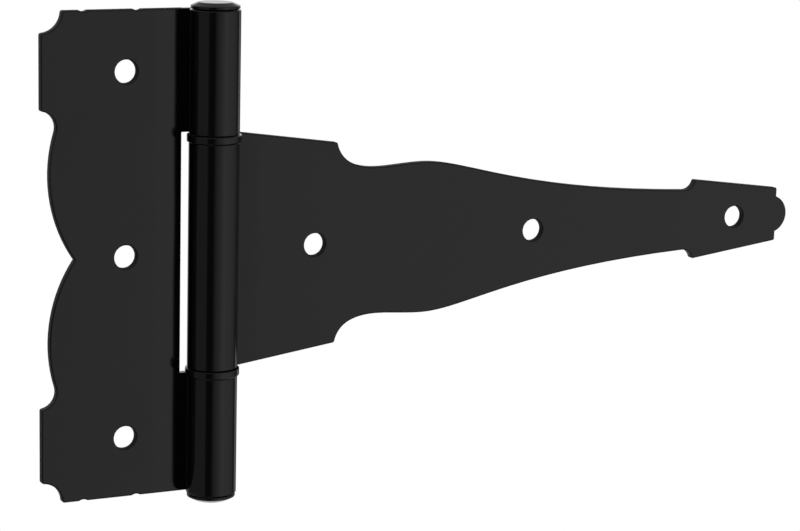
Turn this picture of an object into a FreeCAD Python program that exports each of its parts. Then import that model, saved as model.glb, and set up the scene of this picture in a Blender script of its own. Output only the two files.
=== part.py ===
"""Heavy tee hinge: a post leaf and a long strap leaf, each rolled from sheet round one pin.

Millimetres. X runs from the post leaf towards the strap's tip, Y into the post, and Z up the pin.
The origin is the post leaf's middle bolt hole, on the leaf's back face. The hinge lies open flat.
"""
import FreeCAD, Part
import math
import os
from FreeCAD import Vector

# Sheet and pin
sheet = 3.0             # thickness of both leaves
pin_r = 6.15
pin_play = 0.05         # radial, in the knuckles and the washers
end_play = 0.2          # from each washer to the knuckle beside it
edge_round = 0.3        # dressed rims of the sheet
corner_round = 0.8      # outward corners of the outlines
bolt_r = 4.3            # bolt holes in both leaves

# Post leaf, measured from the pin's axis and from mid height
leaf_height = 178.0
leaf_reach = 62.85
leaf_row = 31.2         # pin axis to the row of bolt holes
leaf_pitch = 66.9       # between bolt holes
scoop_r = 7.8           # hollow at each outer corner
notch_r = 6.0           # hollow where the straight edge ends
notch_out = 0.4         # its centre stands this far outside the edge
lobe_r = 54.0           # the two bulges that meet at mid height
lobe_in = 3.05          # their crests lie this far inside the edge
lobe_crest = 30.5       # their crests above and below mid height
nick_by_edge = 15.7     # far edge to the outer nick in the top and bottom edges
nick_by_row = 4.3       # bolt row to the inner nick, towards the barrel
nick_width = 3.2
nick_depth = 0.5
slot_side = 0.9         # from the barrel to the upright edge of the slot

# Barrel
strap_knuckle = 82.8    # length of the strap's knuckle
washer_t = 2.6
washer_over = 0.7       # the washers stand this far out of the barrel
washer_round = 0.3
lip_gap = 0.15          # from a knuckle's lip to the face that it comes round to
foot_short = 0.55       # the lowest knuckle ends this far above the leaf's bottom edge
foot_clear = 0.5        # from the lower head to the step in that edge

# Pin heads
head_gap = 0.12         # from the barrel's ends to the heads
head_in = 0.33          # the heads stand this far inside the barrel's radius
groove_rise = 0.38      # the heads' undersides slope up to their rims
groove_run = 0.6        # the width of that slope
head_band = 0.95        # height of the upright rim
head_rise = 1.15        # height of the upper head's bevel
formed_rise = 1.4       # the same on the lower head
head_slope_run = 2.77   # the bevel's width, seen from above
head_round = 0.2

# Strap leaf, measured from the pin's axis and from the middle line
strap_reach = 253.0
strap_first = 43.2      # pin axis to the first bolt hole
strap_last = 25.0       # tip to the last bolt hole
root_clear = 0.4        # the root's shoulder to the washers
root_half = 43.7        # half width at the root
shoulder_x = 51.85      # where the straight taper ends
shoulder_half = 37.9
scroll_r = 10.7         # hollow under the shoulder
scroll_lift = 1.8       # its centre stands this far outside the shoulder's corner
scroll_exit = 24.3      # degrees, slope where the hollow turns into the waist
waist_holds = (0.31, 0.386)     # shares of the way over which it keeps its end slopes
crest_on = 36.15        # from the shoulder
crest_half = 28.95
sweep_holds = (0.166, 0.66)     # the same, from the crest to the neck
neck_half = 12.1
neck_slope = 2.7        # degrees
flare_r = 4.6           # hollow between the neck and the end block
block_len = 44.2        # end block with its nub
block_half = 15.95
tip_half = 10.75
nub_out = 5.0           # the nub stands this far out of the block
nub_r = 7.6

# What follows from them
bore_r = pin_r + pin_play
barrel_r = bore_r + sheet
washer_r = barrel_r + washer_over
head_r = barrel_r - head_in
pin_x = leaf_row
pin_y = -barrel_r
strap_knuckle_half = strap_knuckle / 2
washer_low = strap_knuckle_half + end_play
gap_half = washer_low + washer_t + end_play
leaf_half = leaf_height / 2
foot_half = leaf_half - foot_short
slot_x = barrel_r + slot_side
strap_pitch = (strap_reach - strap_last - strap_first) / 2


def place(x, z):
    """A point on the back plane, from the pin's axis at mid height."""
    return Vector(pin_x + x, 0, z)


class Outline:
    """Half of a leaf's edge, drawn from the barrel to the middle line and then mirrored."""

    def __init__(self, x, z):
        self.here = place(x, z)
        self.edges = []

    def line(self, x, z):
        end = place(x, z)
        self.edges.append(Part.LineSegment(self.here, end).toShape())
        self.here = end

    def arc(self, centre_x, centre_z, x, z):
        """The shorter arc about the centre."""
        centre = place(centre_x, centre_z)
        end = place(x, z)
        middle = (self.here - centre) + (end - centre)
        middle.normalize()
        middle = centre + middle * (end - centre).Length
        self.edges.append(Part.Arc(self.here, middle, end).toShape())
        self.here = end

    def sweep(self, x, z, slopes, holds):
        """A cubic that leaves and arrives at the given slopes, and holds each for its share of the way."""
        end = place(x, z)
        span = end.x - self.here.x
        leave = self.here + heading(slopes[0]) * (holds[0] * span)
        arrive = end - heading(slopes[1]) * (holds[1] * span)
        curve = Part.BezierCurve()
        curve.setPoles([self.here, leave, arrive, end])
        self.edges.append(curve.toShape())
        self.here = end

    def plate(self):
        """The whole outline as a flat piece of sheet behind the front plane."""
        mirrored = [edge.mirror(place(0, 0), Vector(0, 0, 1)) for edge in self.edges]
        wire = Part.Wire(Part.__sortEdges__(self.edges + mirrored))
        return Part.Face(wire).extrude(Vector(0, -sheet, 0))


def heading(degrees):
    return Vector(math.cos(math.radians(degrees)), 0, math.sin(math.radians(degrees)))


def is_flat(low, high):
    return high - low < 1e-4


def runs_through(edge):
    """Whether the edge goes straight through the sheet."""
    box = edge.BoundBox
    return is_flat(box.XMin, box.XMax) and is_flat(box.ZMin, box.ZMax)


def round_corners(plate, corners):
    """Rounds the corners at the given places and at their mirror images."""
    wanted = [place(x, side * z) for x, z in corners for side in (1, -1)]
    edges = []
    for edge in plate.Edges:
        foot = Vector(edge.BoundBox.XMin, 0, edge.BoundBox.ZMin)
        if runs_through(edge) and any((foot - spot).Length < 0.01 for spot in wanted):
            edges.append(edge)
    return plate.makeFillet(corner_round, edges)


def round_rims(leaf):
    """Rounds the edges of the sheet's two faces, of its holes and of its knuckle ends."""
    edges = []
    for edge in leaf.Edges:
        box = edge.BoundBox
        on_face = is_flat(box.YMin, box.YMax) and box.YMin > -sheet - 0.01
        at_end = is_flat(box.ZMin, box.ZMax) and box.YMin < -sheet - 0.01
        where_it_bends = on_face and is_flat(box.XMin, box.XMax) and abs(box.XMin - pin_x) < 0.01
        if (on_face or at_end) and not runs_through(edge) and not where_it_bends:
            edges.append(edge)
    return leaf.makeFillet(edge_round, edges)


def curl(side, low, high):
    """A knuckle: it leaves the back plane at the pin, goes round and comes back to the sheet's front.

    side is 1 where the flat sheet lies on the strap's side of the pin, and -1 on the post's side.
    """
    start = math.pi / 2
    end = 2 * math.pi + math.asin((barrel_r - sheet - lip_gap) / barrel_r)

    def on_circle(radius, turn):
        return Vector(pin_x + side * radius * math.cos(turn), pin_y + radius * math.sin(turn), low)

    middle = (start + end) / 2
    outer = [on_circle(barrel_r, turn) for turn in (start, middle, end)]
    inner = [on_circle(bore_r, turn) for turn in (end, middle, start)]
    wire = Part.Wire([
        Part.Arc(*outer).toShape(),
        Part.LineSegment(outer[2], inner[0]).toShape(),
        Part.Arc(*inner).toShape(),
        Part.LineSegment(inner[2], outer[0]).toShape(),
    ])
    return Part.Face(wire).extrude(Vector(0, 0, high - low))


def bolt_hole(x, z):
    """The cutter for a hole through the sheet."""
    start = place(x, z) + Vector(0, sheet, 0)
    return Part.makeCylinder(bolt_r, 3 * sheet, start, Vector(0, -1, 0))


def foot_step():
    """The cutter that makes room for the lower head in the sheet behind it."""
    inward = math.sqrt(head_r ** 2 - (barrel_r - sheet) ** 2) + foot_clear
    corner = place(-inward, -leaf_half - foot_short) - Vector(0, 2 * sheet, 0)
    return Part.makeBox(inward + sheet, 3 * sheet, 2 * foot_short, corner)


def post_leaf():
    """The pad with the bulged edge and a knuckle at each end of the barrel."""
    lobe_x = -leaf_reach + lobe_in + lobe_r
    notch_x = -leaf_reach - notch_out
    across = lobe_x - notch_x
    notch_z = lobe_crest + math.sqrt((lobe_r + notch_r) ** 2 - across ** 2)
    touch = notch_r / (lobe_r + notch_r)
    notch_top = notch_z + math.sqrt(notch_r ** 2 - notch_out ** 2)
    cusp_x = lobe_x - math.sqrt(lobe_r ** 2 - lobe_crest ** 2)

    edge = Outline(-slot_x, 0)
    edge.line(-slot_x, gap_half)
    edge.line(0, gap_half)
    edge.line(0, leaf_half)
    nick_r = (nick_width ** 2 / 4 + nick_depth ** 2) / (2 * nick_depth)
    for nick_x in (nick_by_row - leaf_row, nick_by_edge - leaf_reach):
        edge.line(nick_x + nick_width / 2, leaf_half)
        edge.arc(nick_x, leaf_half - nick_depth + nick_r, nick_x - nick_width / 2, leaf_half)
    edge.line(-leaf_reach + scoop_r, leaf_half)
    edge.arc(-leaf_reach, leaf_half, -leaf_reach, leaf_half - scoop_r)
    edge.line(-leaf_reach, notch_top)
    edge.arc(notch_x, notch_z, notch_x + across * touch, notch_z + (lobe_crest - notch_z) * touch)
    edge.arc(lobe_x, lobe_crest, cusp_x, 0)

    plate = round_corners(edge.plate(), [
        (-leaf_reach + scoop_r, leaf_half),
        (-leaf_reach, leaf_half - scoop_r),
        (-leaf_reach, notch_top),
    ])
    knuckles = [curl(-1, gap_half, leaf_half), curl(-1, -foot_half, -gap_half)]
    holes = [bolt_hole(-leaf_row, step * leaf_pitch) for step in (-1, 0, 1)]
    whole = plate.cut(foot_step()).fuse(knuckles).removeSplitter()
    return round_rims(whole.cut(holes))


def strap_leaf():
    """The long strap with the scrolled edge and one knuckle between the washers."""
    root_x = washer_r + root_clear
    scroll_x = shoulder_x + math.sqrt(scroll_r ** 2 - scroll_lift ** 2)
    scroll_z = shoulder_half + scroll_lift
    leave = heading(scroll_exit)
    arrive = heading(neck_slope)
    block_x = strap_reach - block_len
    flare_z = neck_half + flare_r * arrive.x
    flare_x = block_x - math.sqrt(flare_r ** 2 - (flare_z - block_half) ** 2)
    tip_x = strap_reach - nub_out
    nub_half = math.sqrt(nub_r ** 2 - (nub_r - nub_out) ** 2)

    edge = Outline(0, 0)
    edge.line(0, strap_knuckle_half)
    edge.line(root_x, strap_knuckle_half)
    edge.line(root_x, root_half)
    edge.line(shoulder_x, shoulder_half)
    edge.arc(scroll_x, scroll_z, scroll_x - scroll_r * leave.z, scroll_z - scroll_r * leave.x)
    edge.sweep(shoulder_x + crest_on, crest_half, (-scroll_exit, 0), waist_holds)
    edge.sweep(flare_x - flare_r * arrive.z, neck_half, (0, -neck_slope), sweep_holds)
    edge.arc(flare_x, flare_z, block_x, block_half)
    edge.line(tip_x, tip_half)
    edge.line(tip_x, nub_half)
    edge.arc(strap_reach - nub_r, 0, strap_reach, 0)

    plate = round_corners(edge.plate(), [
        (root_x, root_half),
        (shoulder_x, shoulder_half),
        (block_x, block_half),
        (tip_x, tip_half),
    ])
    knuckle = curl(1, -strap_knuckle_half, strap_knuckle_half)
    holes = [bolt_hole(strap_first + step * strap_pitch, 0) for step in range(3)]
    return round_rims(plate.fuse(knuckle).removeSplitter().cut(holes))


def turned(profile):
    """A solid turned about the pin's axis from (radius, height) points."""
    points = [Vector(pin_x + radius, pin_y, z) for radius, z in profile]
    face = Part.Face(Part.makePolygon(points + points[:1]))
    return face.revolve(Vector(pin_x, pin_y, 0), Vector(0, 0, 1), 360)


def head(seat, rise):
    """Half of a head's section, from its top to the pin, over a knuckle that ends at the given height."""
    under = seat + head_gap
    rim = under + groove_rise
    band = rim + head_band
    return [
        (0, band + rise), (head_r - head_slope_run, band + rise), (head_r, band),
        (head_r, rim), (head_r - groove_run, under), (pin_r, under),
    ]


def hinge_pin():
    """The pin with a bevelled head at each end, the lower one formed once the hinge is together."""
    upper = head(leaf_half, head_rise)
    lower = [(radius, -z) for radius, z in reversed(head(foot_half, formed_rise))]
    pin = turned(upper + lower)
    groove = head_gap + groove_rise
    rims = []
    for edge in pin.Edges:
        box = edge.BoundBox
        past_groove = box.ZMin > leaf_half + groove - 0.01 or box.ZMax < 0.01 - foot_half - groove
        if past_groove and is_flat(box.ZMin, box.ZMax):
            rims.append(edge)
    return pin.makeFillet(head_round, rims)


def washer(low):
    """A plain ring that keeps two knuckles apart."""
    high = low + washer_t
    ring = turned([(bore_r, low), (washer_r, low), (washer_r, high), (bore_r, high)])
    rims = [edge for edge in ring.Edges if is_flat(edge.BoundBox.ZMin, edge.BoundBox.ZMax)
            and edge.BoundBox.XMax - pin_x > washer_r - 0.01]
    return ring.makeFillet(washer_round, rims)


pieces = {
    "post_leaf": post_leaf(),
    "strap_leaf": strap_leaf(),
    "hinge_pin": hinge_pin(),
    "upper_washer": washer(washer_low),
    "lower_washer": washer(-washer_low - washer_t),
}

os.makedirs("parts", exist_ok=True)
for name, shape in pieces.items():
    solid = shape.Solids[0]
    solid.exportStep(f"parts/{name}.step")
    print(name, len(shape.Solids), shape.isValid(), round(solid.Volume), "mm3")
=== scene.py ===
"""A black tee hinge in a plain white studio: the coat of its pieces, the light round it and the camera.

Metres and degrees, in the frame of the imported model: X runs from the post leaf to the strap's tip,
Y into the post and Z up the pin, and the origin is the post leaf's middle bolt hole.
"""
import math

import bpy
from mathutils import Matrix, Vector


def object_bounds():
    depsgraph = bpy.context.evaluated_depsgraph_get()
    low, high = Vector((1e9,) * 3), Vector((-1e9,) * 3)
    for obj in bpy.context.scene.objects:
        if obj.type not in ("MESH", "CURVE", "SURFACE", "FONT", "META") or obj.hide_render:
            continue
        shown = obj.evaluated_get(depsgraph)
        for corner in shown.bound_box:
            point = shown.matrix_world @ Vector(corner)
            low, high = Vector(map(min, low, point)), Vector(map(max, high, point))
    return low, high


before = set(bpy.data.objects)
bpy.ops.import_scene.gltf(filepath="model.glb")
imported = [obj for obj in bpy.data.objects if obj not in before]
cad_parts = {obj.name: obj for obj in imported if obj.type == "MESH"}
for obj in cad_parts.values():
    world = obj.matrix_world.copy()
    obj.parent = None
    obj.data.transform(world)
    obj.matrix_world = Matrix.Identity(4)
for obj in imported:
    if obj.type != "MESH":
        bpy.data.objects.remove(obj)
cad_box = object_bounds()

# Camera
camera_at = Vector((-0.32207, -0.87298, 0.18122))
camera_turn = 26.404        # to the right of straight ahead
camera_dip = 11.150         # below the horizon
camera_roll = 1.375
camera_lens = 117.91        # millimetres on a sensor 36 mm wide

# Hinge
pin_x = 0.0312
barrel_half = 0.0095        # half the barrel's width
bolt_holes = [(0, 0, -0.0669), (0, 0, 0), (0, 0, 0.0669), (0.0744, 0, 0), (0.1668, 0, 0), (0.2592, 0, 0)]

# Coat
coat_black = (0.003, 0.003, 0.003, 1)
flat_roughness = 0.09
patch_roughness = 0.03      # added at most, in patches
edge_roughness = 0.4        # added on the sheet's cut edges
hole_roughness = 0.28       # and once more in the bolt holes
hole_full = 0.006           # from a hole's centre, its duller film is whole up to here
hole_end = 0.008            # and has ended here
edge_blend = 0.001          # width over which the barrel's finish passes into the sheet's
cut_facing = 0.3            # a face that looks less than this to the front or back is a cut edge
flat_facing = 0.8           # and one that looks more than this is a flat
coat_round = 0.0008         # radius to which the coat rounds the sheet's edges
peel_scale = 420            # bumps to the metre
peel_depth = 0.00002
peel_strength = 0.15
patch_scale = 25            # patches to the metre
wave_scale = 30             # waves to the metre
wave_depth = 0.00025        # slow waves left by the press
draw_reach = 0.012          # beside the barrel, the sheet draws in towards the roll over this width
draw_depth = 0.00028
seed_step = 0.7             # along each axis, how far apart two pieces take their noise

# Studio
floor_drop = 0.40           # below the lower pin head
floor_middle = (0.10, 0.40) # in X and Y, behind the hinge
floor_full = 0.25           # from its middle, the floor is whole up to here
floor_end = 0.62            # and has faded into the white background here
floor_colour = (0.82, 0.82, 0.82)
floor_lift = 0.30           # what the floor glows by itself, so that only shade takes it below white
overhead = 0.30             # brightness of the studio above
underneath = 0.12           # and well below the hinge, round the floor
underneath_end = -0.50      # these six heights are on a round sky of radius 1, from -1 to 1
eye_level_start = -0.35
eye_level_end = -0.05
overhead_start = 0.05
backdrop_fade = 0.22
backdrop_end = 0.42
softbox_at = (0.1, 0, 1.4)
softbox_size = 0.6          # along each side
softbox_watts = 20


class Wire:
    """A socket that can be written into sums, such as 1 - mask * 0.3."""

    def __init__(self, nodes, socket):
        self.nodes = nodes
        self.socket = socket

    def __add__(self, other):
        return self.nodes.maths("ADD", self, other)

    def __sub__(self, other):
        return self.nodes.maths("SUBTRACT", self, other)

    def __rsub__(self, other):
        return self.nodes.maths("SUBTRACT", other, self)

    def __mul__(self, other):
        return self.nodes.maths("MULTIPLY", self, other)

    def __truediv__(self, other):
        return self.nodes.maths("DIVIDE", self, other)

    __radd__ = __add__
    __rmul__ = __mul__


class Nodes:
    """The node tree of a material or of the world."""

    def __init__(self, owner):
        owner.use_nodes = True
        self.tree = owner.node_tree
        self.tree.nodes.clear()

    def node(self, kind, settings, sockets, out=0):
        """Makes a node with its settings first and then its sockets, and gives one of its outputs."""
        made = self.tree.nodes.new(kind)
        for name, value in settings.items():
            if name == "stops":
                self.set_stops(made.color_ramp, value)
            else:
                setattr(made, name, value)
        for name, value in sockets.items():
            if isinstance(value, Wire):
                self.tree.links.new(value.socket, made.inputs[name])
            else:
                made.inputs[name].default_value = value
        return Wire(self, made.outputs[out]) if made.outputs else made

    def set_stops(self, ramp, stops):
        while len(ramp.elements) < len(stops):
            ramp.elements.new(1.0)
        for element, (place, level) in zip(ramp.elements, stops):
            element.position = place
            element.color = (level, level, level, 1)

    def maths(self, operation, first, second):
        return self.node("ShaderNodeMath", {"operation": operation}, {0: first, 1: second})


def rising(nodes, value, low, high):
    """0 below low and 1 above high, with a soft passage."""
    return nodes.node("ShaderNodeMapRange", {"interpolation_type": "SMOOTHSTEP"}, {
        "Value": value, "From Min": low, "From Max": high})


def absolute(nodes, value):
    """The value without its sign."""
    return nodes.node("ShaderNodeMath", {"operation": "ABSOLUTE"}, {0: value})


def powder_coat(name, seed):
    """Semi-gloss black powder coat with a faint orange peel, duller and rounded on the sheet's edges.

    The sheet is told from the barrel by its distance from the pin, and a cut edge by its facing sideways.
    """
    material = bpy.data.materials.new(name)
    nodes = Nodes(material)
    place = nodes.node("ShaderNodeTexCoord", {}, {}, "Object")
    from_pin = absolute(nodes, nodes.node("ShaderNodeSeparateXYZ", {}, {"Vector": place}, "X") - pin_x)
    on_sheet = rising(nodes, from_pin, barrel_half, barrel_half + edge_blend)
    facing = nodes.node("ShaderNodeNewGeometry", {}, {}, "Normal")
    facing_post = absolute(nodes, nodes.node("ShaderNodeSeparateXYZ", {}, {"Vector": facing}, "Y"))
    cut_edge = on_sheet * (1 - rising(nodes, facing_post, cut_facing, flat_facing))
    in_hole = 0
    for hole in bolt_holes:
        from_hole = nodes.node(
            "ShaderNodeVectorMath", {"operation": "DISTANCE"}, {0: place, 1: hole}, "Value")
        in_hole = in_hole + (1 - rising(nodes, from_hole, hole_full, hole_end))

    sample = nodes.node("ShaderNodeVectorMath", {"operation": "ADD"}, {0: place, 1: (seed, seed, seed)})
    waves = nodes.node("ShaderNodeTexNoise", {}, {"Vector": sample, "Scale": wave_scale, "Detail": 0.0})
    drawn = rising(nodes, from_pin, barrel_half, barrel_half + draw_reach) * draw_depth
    peel = nodes.node("ShaderNodeTexNoise", {}, {"Vector": sample, "Scale": peel_scale, "Detail": 2.0})
    patches = nodes.node("ShaderNodeTexNoise", {}, {"Vector": sample, "Scale": patch_scale, "Detail": 3.0})
    rounded = nodes.node("ShaderNodeBevel", {"samples": 8}, {"Radius": coat_round})
    edge_normal = nodes.node("ShaderNodeMix", {"data_type": "VECTOR"}, {
        0: on_sheet, 4: facing, 5: rounded}, 1)
    sheet_normal = nodes.node("ShaderNodeBump", {}, {
        "Height": (waves * wave_depth + drawn) * on_sheet, "Distance": 1.0, "Normal": edge_normal})
    coat_normal = nodes.node("ShaderNodeBump", {}, {
        "Height": peel, "Strength": peel_strength, "Distance": peel_depth, "Normal": sheet_normal})
    dulled = edge_roughness + hole_roughness * in_hole
    coat = nodes.node("ShaderNodeBsdfPrincipled", {}, {
        "Base Color": coat_black,
        "Roughness": flat_roughness + patch_roughness * patches + dulled * cut_edge,
        "Normal": coat_normal,
    })
    nodes.node("ShaderNodeOutputMaterial", {}, {"Surface": coat})
    return material


def on_ray(nodes, kind):
    """1 on rays of a kind, such as Camera or Glossy, and 0 on all others."""
    return nodes.node("ShaderNodeLightPath", {}, {}, f"Is {kind} Ray")


def white_floor():
    """A round patch of pale floor, which fades out into the white background."""
    lowest = cad_box[0].z - floor_drop
    middle = Vector((*floor_middle, lowest))
    mesh = bpy.data.meshes.new("floor")
    corners = [middle + floor_end * Vector((x, y, 0)) for x, y in ((-1, -1), (1, -1), (1, 1), (-1, 1))]
    mesh.from_pydata(corners, [], [(0, 1, 2, 3)])
    floor = bpy.data.objects.new("floor", mesh)
    bpy.context.collection.objects.link(floor)
    material = bpy.data.materials.new("floor white")
    nodes = Nodes(material)
    seen = on_ray(nodes, "Camera") + on_ray(nodes, "Glossy") + on_ray(nodes, "Transmission")
    matt = nodes.node("ShaderNodeBsdfDiffuse", {}, {"Color": (*floor_colour, 1)})
    glow = nodes.node("ShaderNodeEmission", {}, {"Strength": seen * floor_lift})
    both = nodes.node("ShaderNodeAddShader", {}, {0: matt, 1: glow})
    place = nodes.node("ShaderNodeTexCoord", {}, {}, "Object")
    out_from_middle = nodes.node(
        "ShaderNodeVectorMath", {"operation": "DISTANCE"}, {0: place, 1: middle}, "Value")
    clear = nodes.node("ShaderNodeBsdfTransparent", {}, {})
    faded = nodes.node("ShaderNodeMixShader", {}, {
        0: rising(nodes, out_from_middle, floor_full, floor_end), 1: both, 2: clear})
    nodes.node("ShaderNodeOutputMaterial", {}, {"Surface": faded})
    mesh.materials.append(material)


# Brightness round the hinge below eye level, by degrees to the right of straight out from its front
studio_round = [
    (-180, 0.38), (-152, 0.34), (-139, 0.10), (-120, 0.15), (-95, 0.19), (-54, 0.21), (-46, 0.04),
    (-24, 0.03), (-8, 0.28), (10, 0.44), (23, 0.60), (34, 0.66), (42, 0.57), (60, 0.50), (88, 0.25),
    (104, 0.02), (119, 0.58), (132, 0.10), (146, 0.10), (158, 0.38), (180, 0.38),
]
# The white sheet that stands behind the hinge, above eye level
backdrop_round = [(-180, 0.6), (-160, 0.0), (125, 0.0), (140, 0.7), (180, 0.6)]


def by_angle(nodes, share, stops):
    """The brightness at a share of the full round, which starts and ends straight behind the hinge."""
    return nodes.node("ShaderNodeValToRGB", {
        "stops": [((angle + 180) / 360, level) for angle, level in stops],
    }, {"Fac": share})


def studio_world():
    world = bpy.data.worlds.new("studio")
    bpy.context.scene.world = world
    nodes = Nodes(world)
    way = nodes.node("ShaderNodeTexCoord", {}, {}, "Generated")
    across, deep, up = [nodes.node("ShaderNodeSeparateXYZ", {}, {"Vector": way}, axis) for axis in "XYZ"]
    share = nodes.maths("ARCTAN2", across, 0 - deep) / (2 * math.pi) + 0.5
    eye_level = rising(nodes, up, underneath_end, eye_level_start)
    below = by_angle(nodes, share, studio_round) * eye_level + underneath * (1 - eye_level)
    backdrop = by_angle(nodes, share, backdrop_round) * (1 - rising(nodes, up, backdrop_fade, backdrop_end))
    above = overhead + backdrop
    over_level = rising(nodes, up, eye_level_end, overhead_start)
    level = below * (1 - over_level) + above * over_level
    light = nodes.node("ShaderNodeBackground", {}, {"Color": (1, 1, 1, 1), "Strength": level})
    white = nodes.node("ShaderNodeBackground", {}, {"Color": (1, 1, 1, 1), "Strength": 1.0})
    both = nodes.node("ShaderNodeMixShader", {}, {
        0: on_ray(nodes, "Camera"), 1: light, 2: white})
    nodes.node("ShaderNodeOutputWorld", {}, {"Surface": both})


def softbox():
    """Lights the floor and the colour of the coat, and stays out of the coat's reflections."""
    data = bpy.data.lights.new("softbox", "AREA")
    data.size = softbox_size
    data.energy = softbox_watts
    made = bpy.data.objects.new("softbox", data)
    made.location = softbox_at
    made.visible_camera = False
    made.visible_glossy = False
    bpy.context.collection.objects.link(made)


def photo_camera():
    data = bpy.data.cameras.new("camera")
    data.lens = camera_lens
    data.clip_start = 0.01
    data.clip_end = 100
    made = bpy.data.objects.new("camera", data)
    bpy.context.collection.objects.link(made)
    made.matrix_world = (
        Matrix.Translation(camera_at)
        @ Matrix.Rotation(math.radians(-camera_turn), 4, "Z")
        @ Matrix.Rotation(math.radians(90 - camera_dip), 4, "X")
        @ Matrix.Rotation(math.radians(camera_roll), 4, "Z")
    )
    bpy.context.scene.camera = made


for number, (name, piece) in enumerate(sorted(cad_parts.items())):
    coat = powder_coat(name + " coat", number * seed_step)
    for slot in piece.material_slots:
        slot.material = coat

white_floor()
studio_world()
softbox()
photo_camera()
bpy.context.scene.view_settings.view_transform = "Standard"
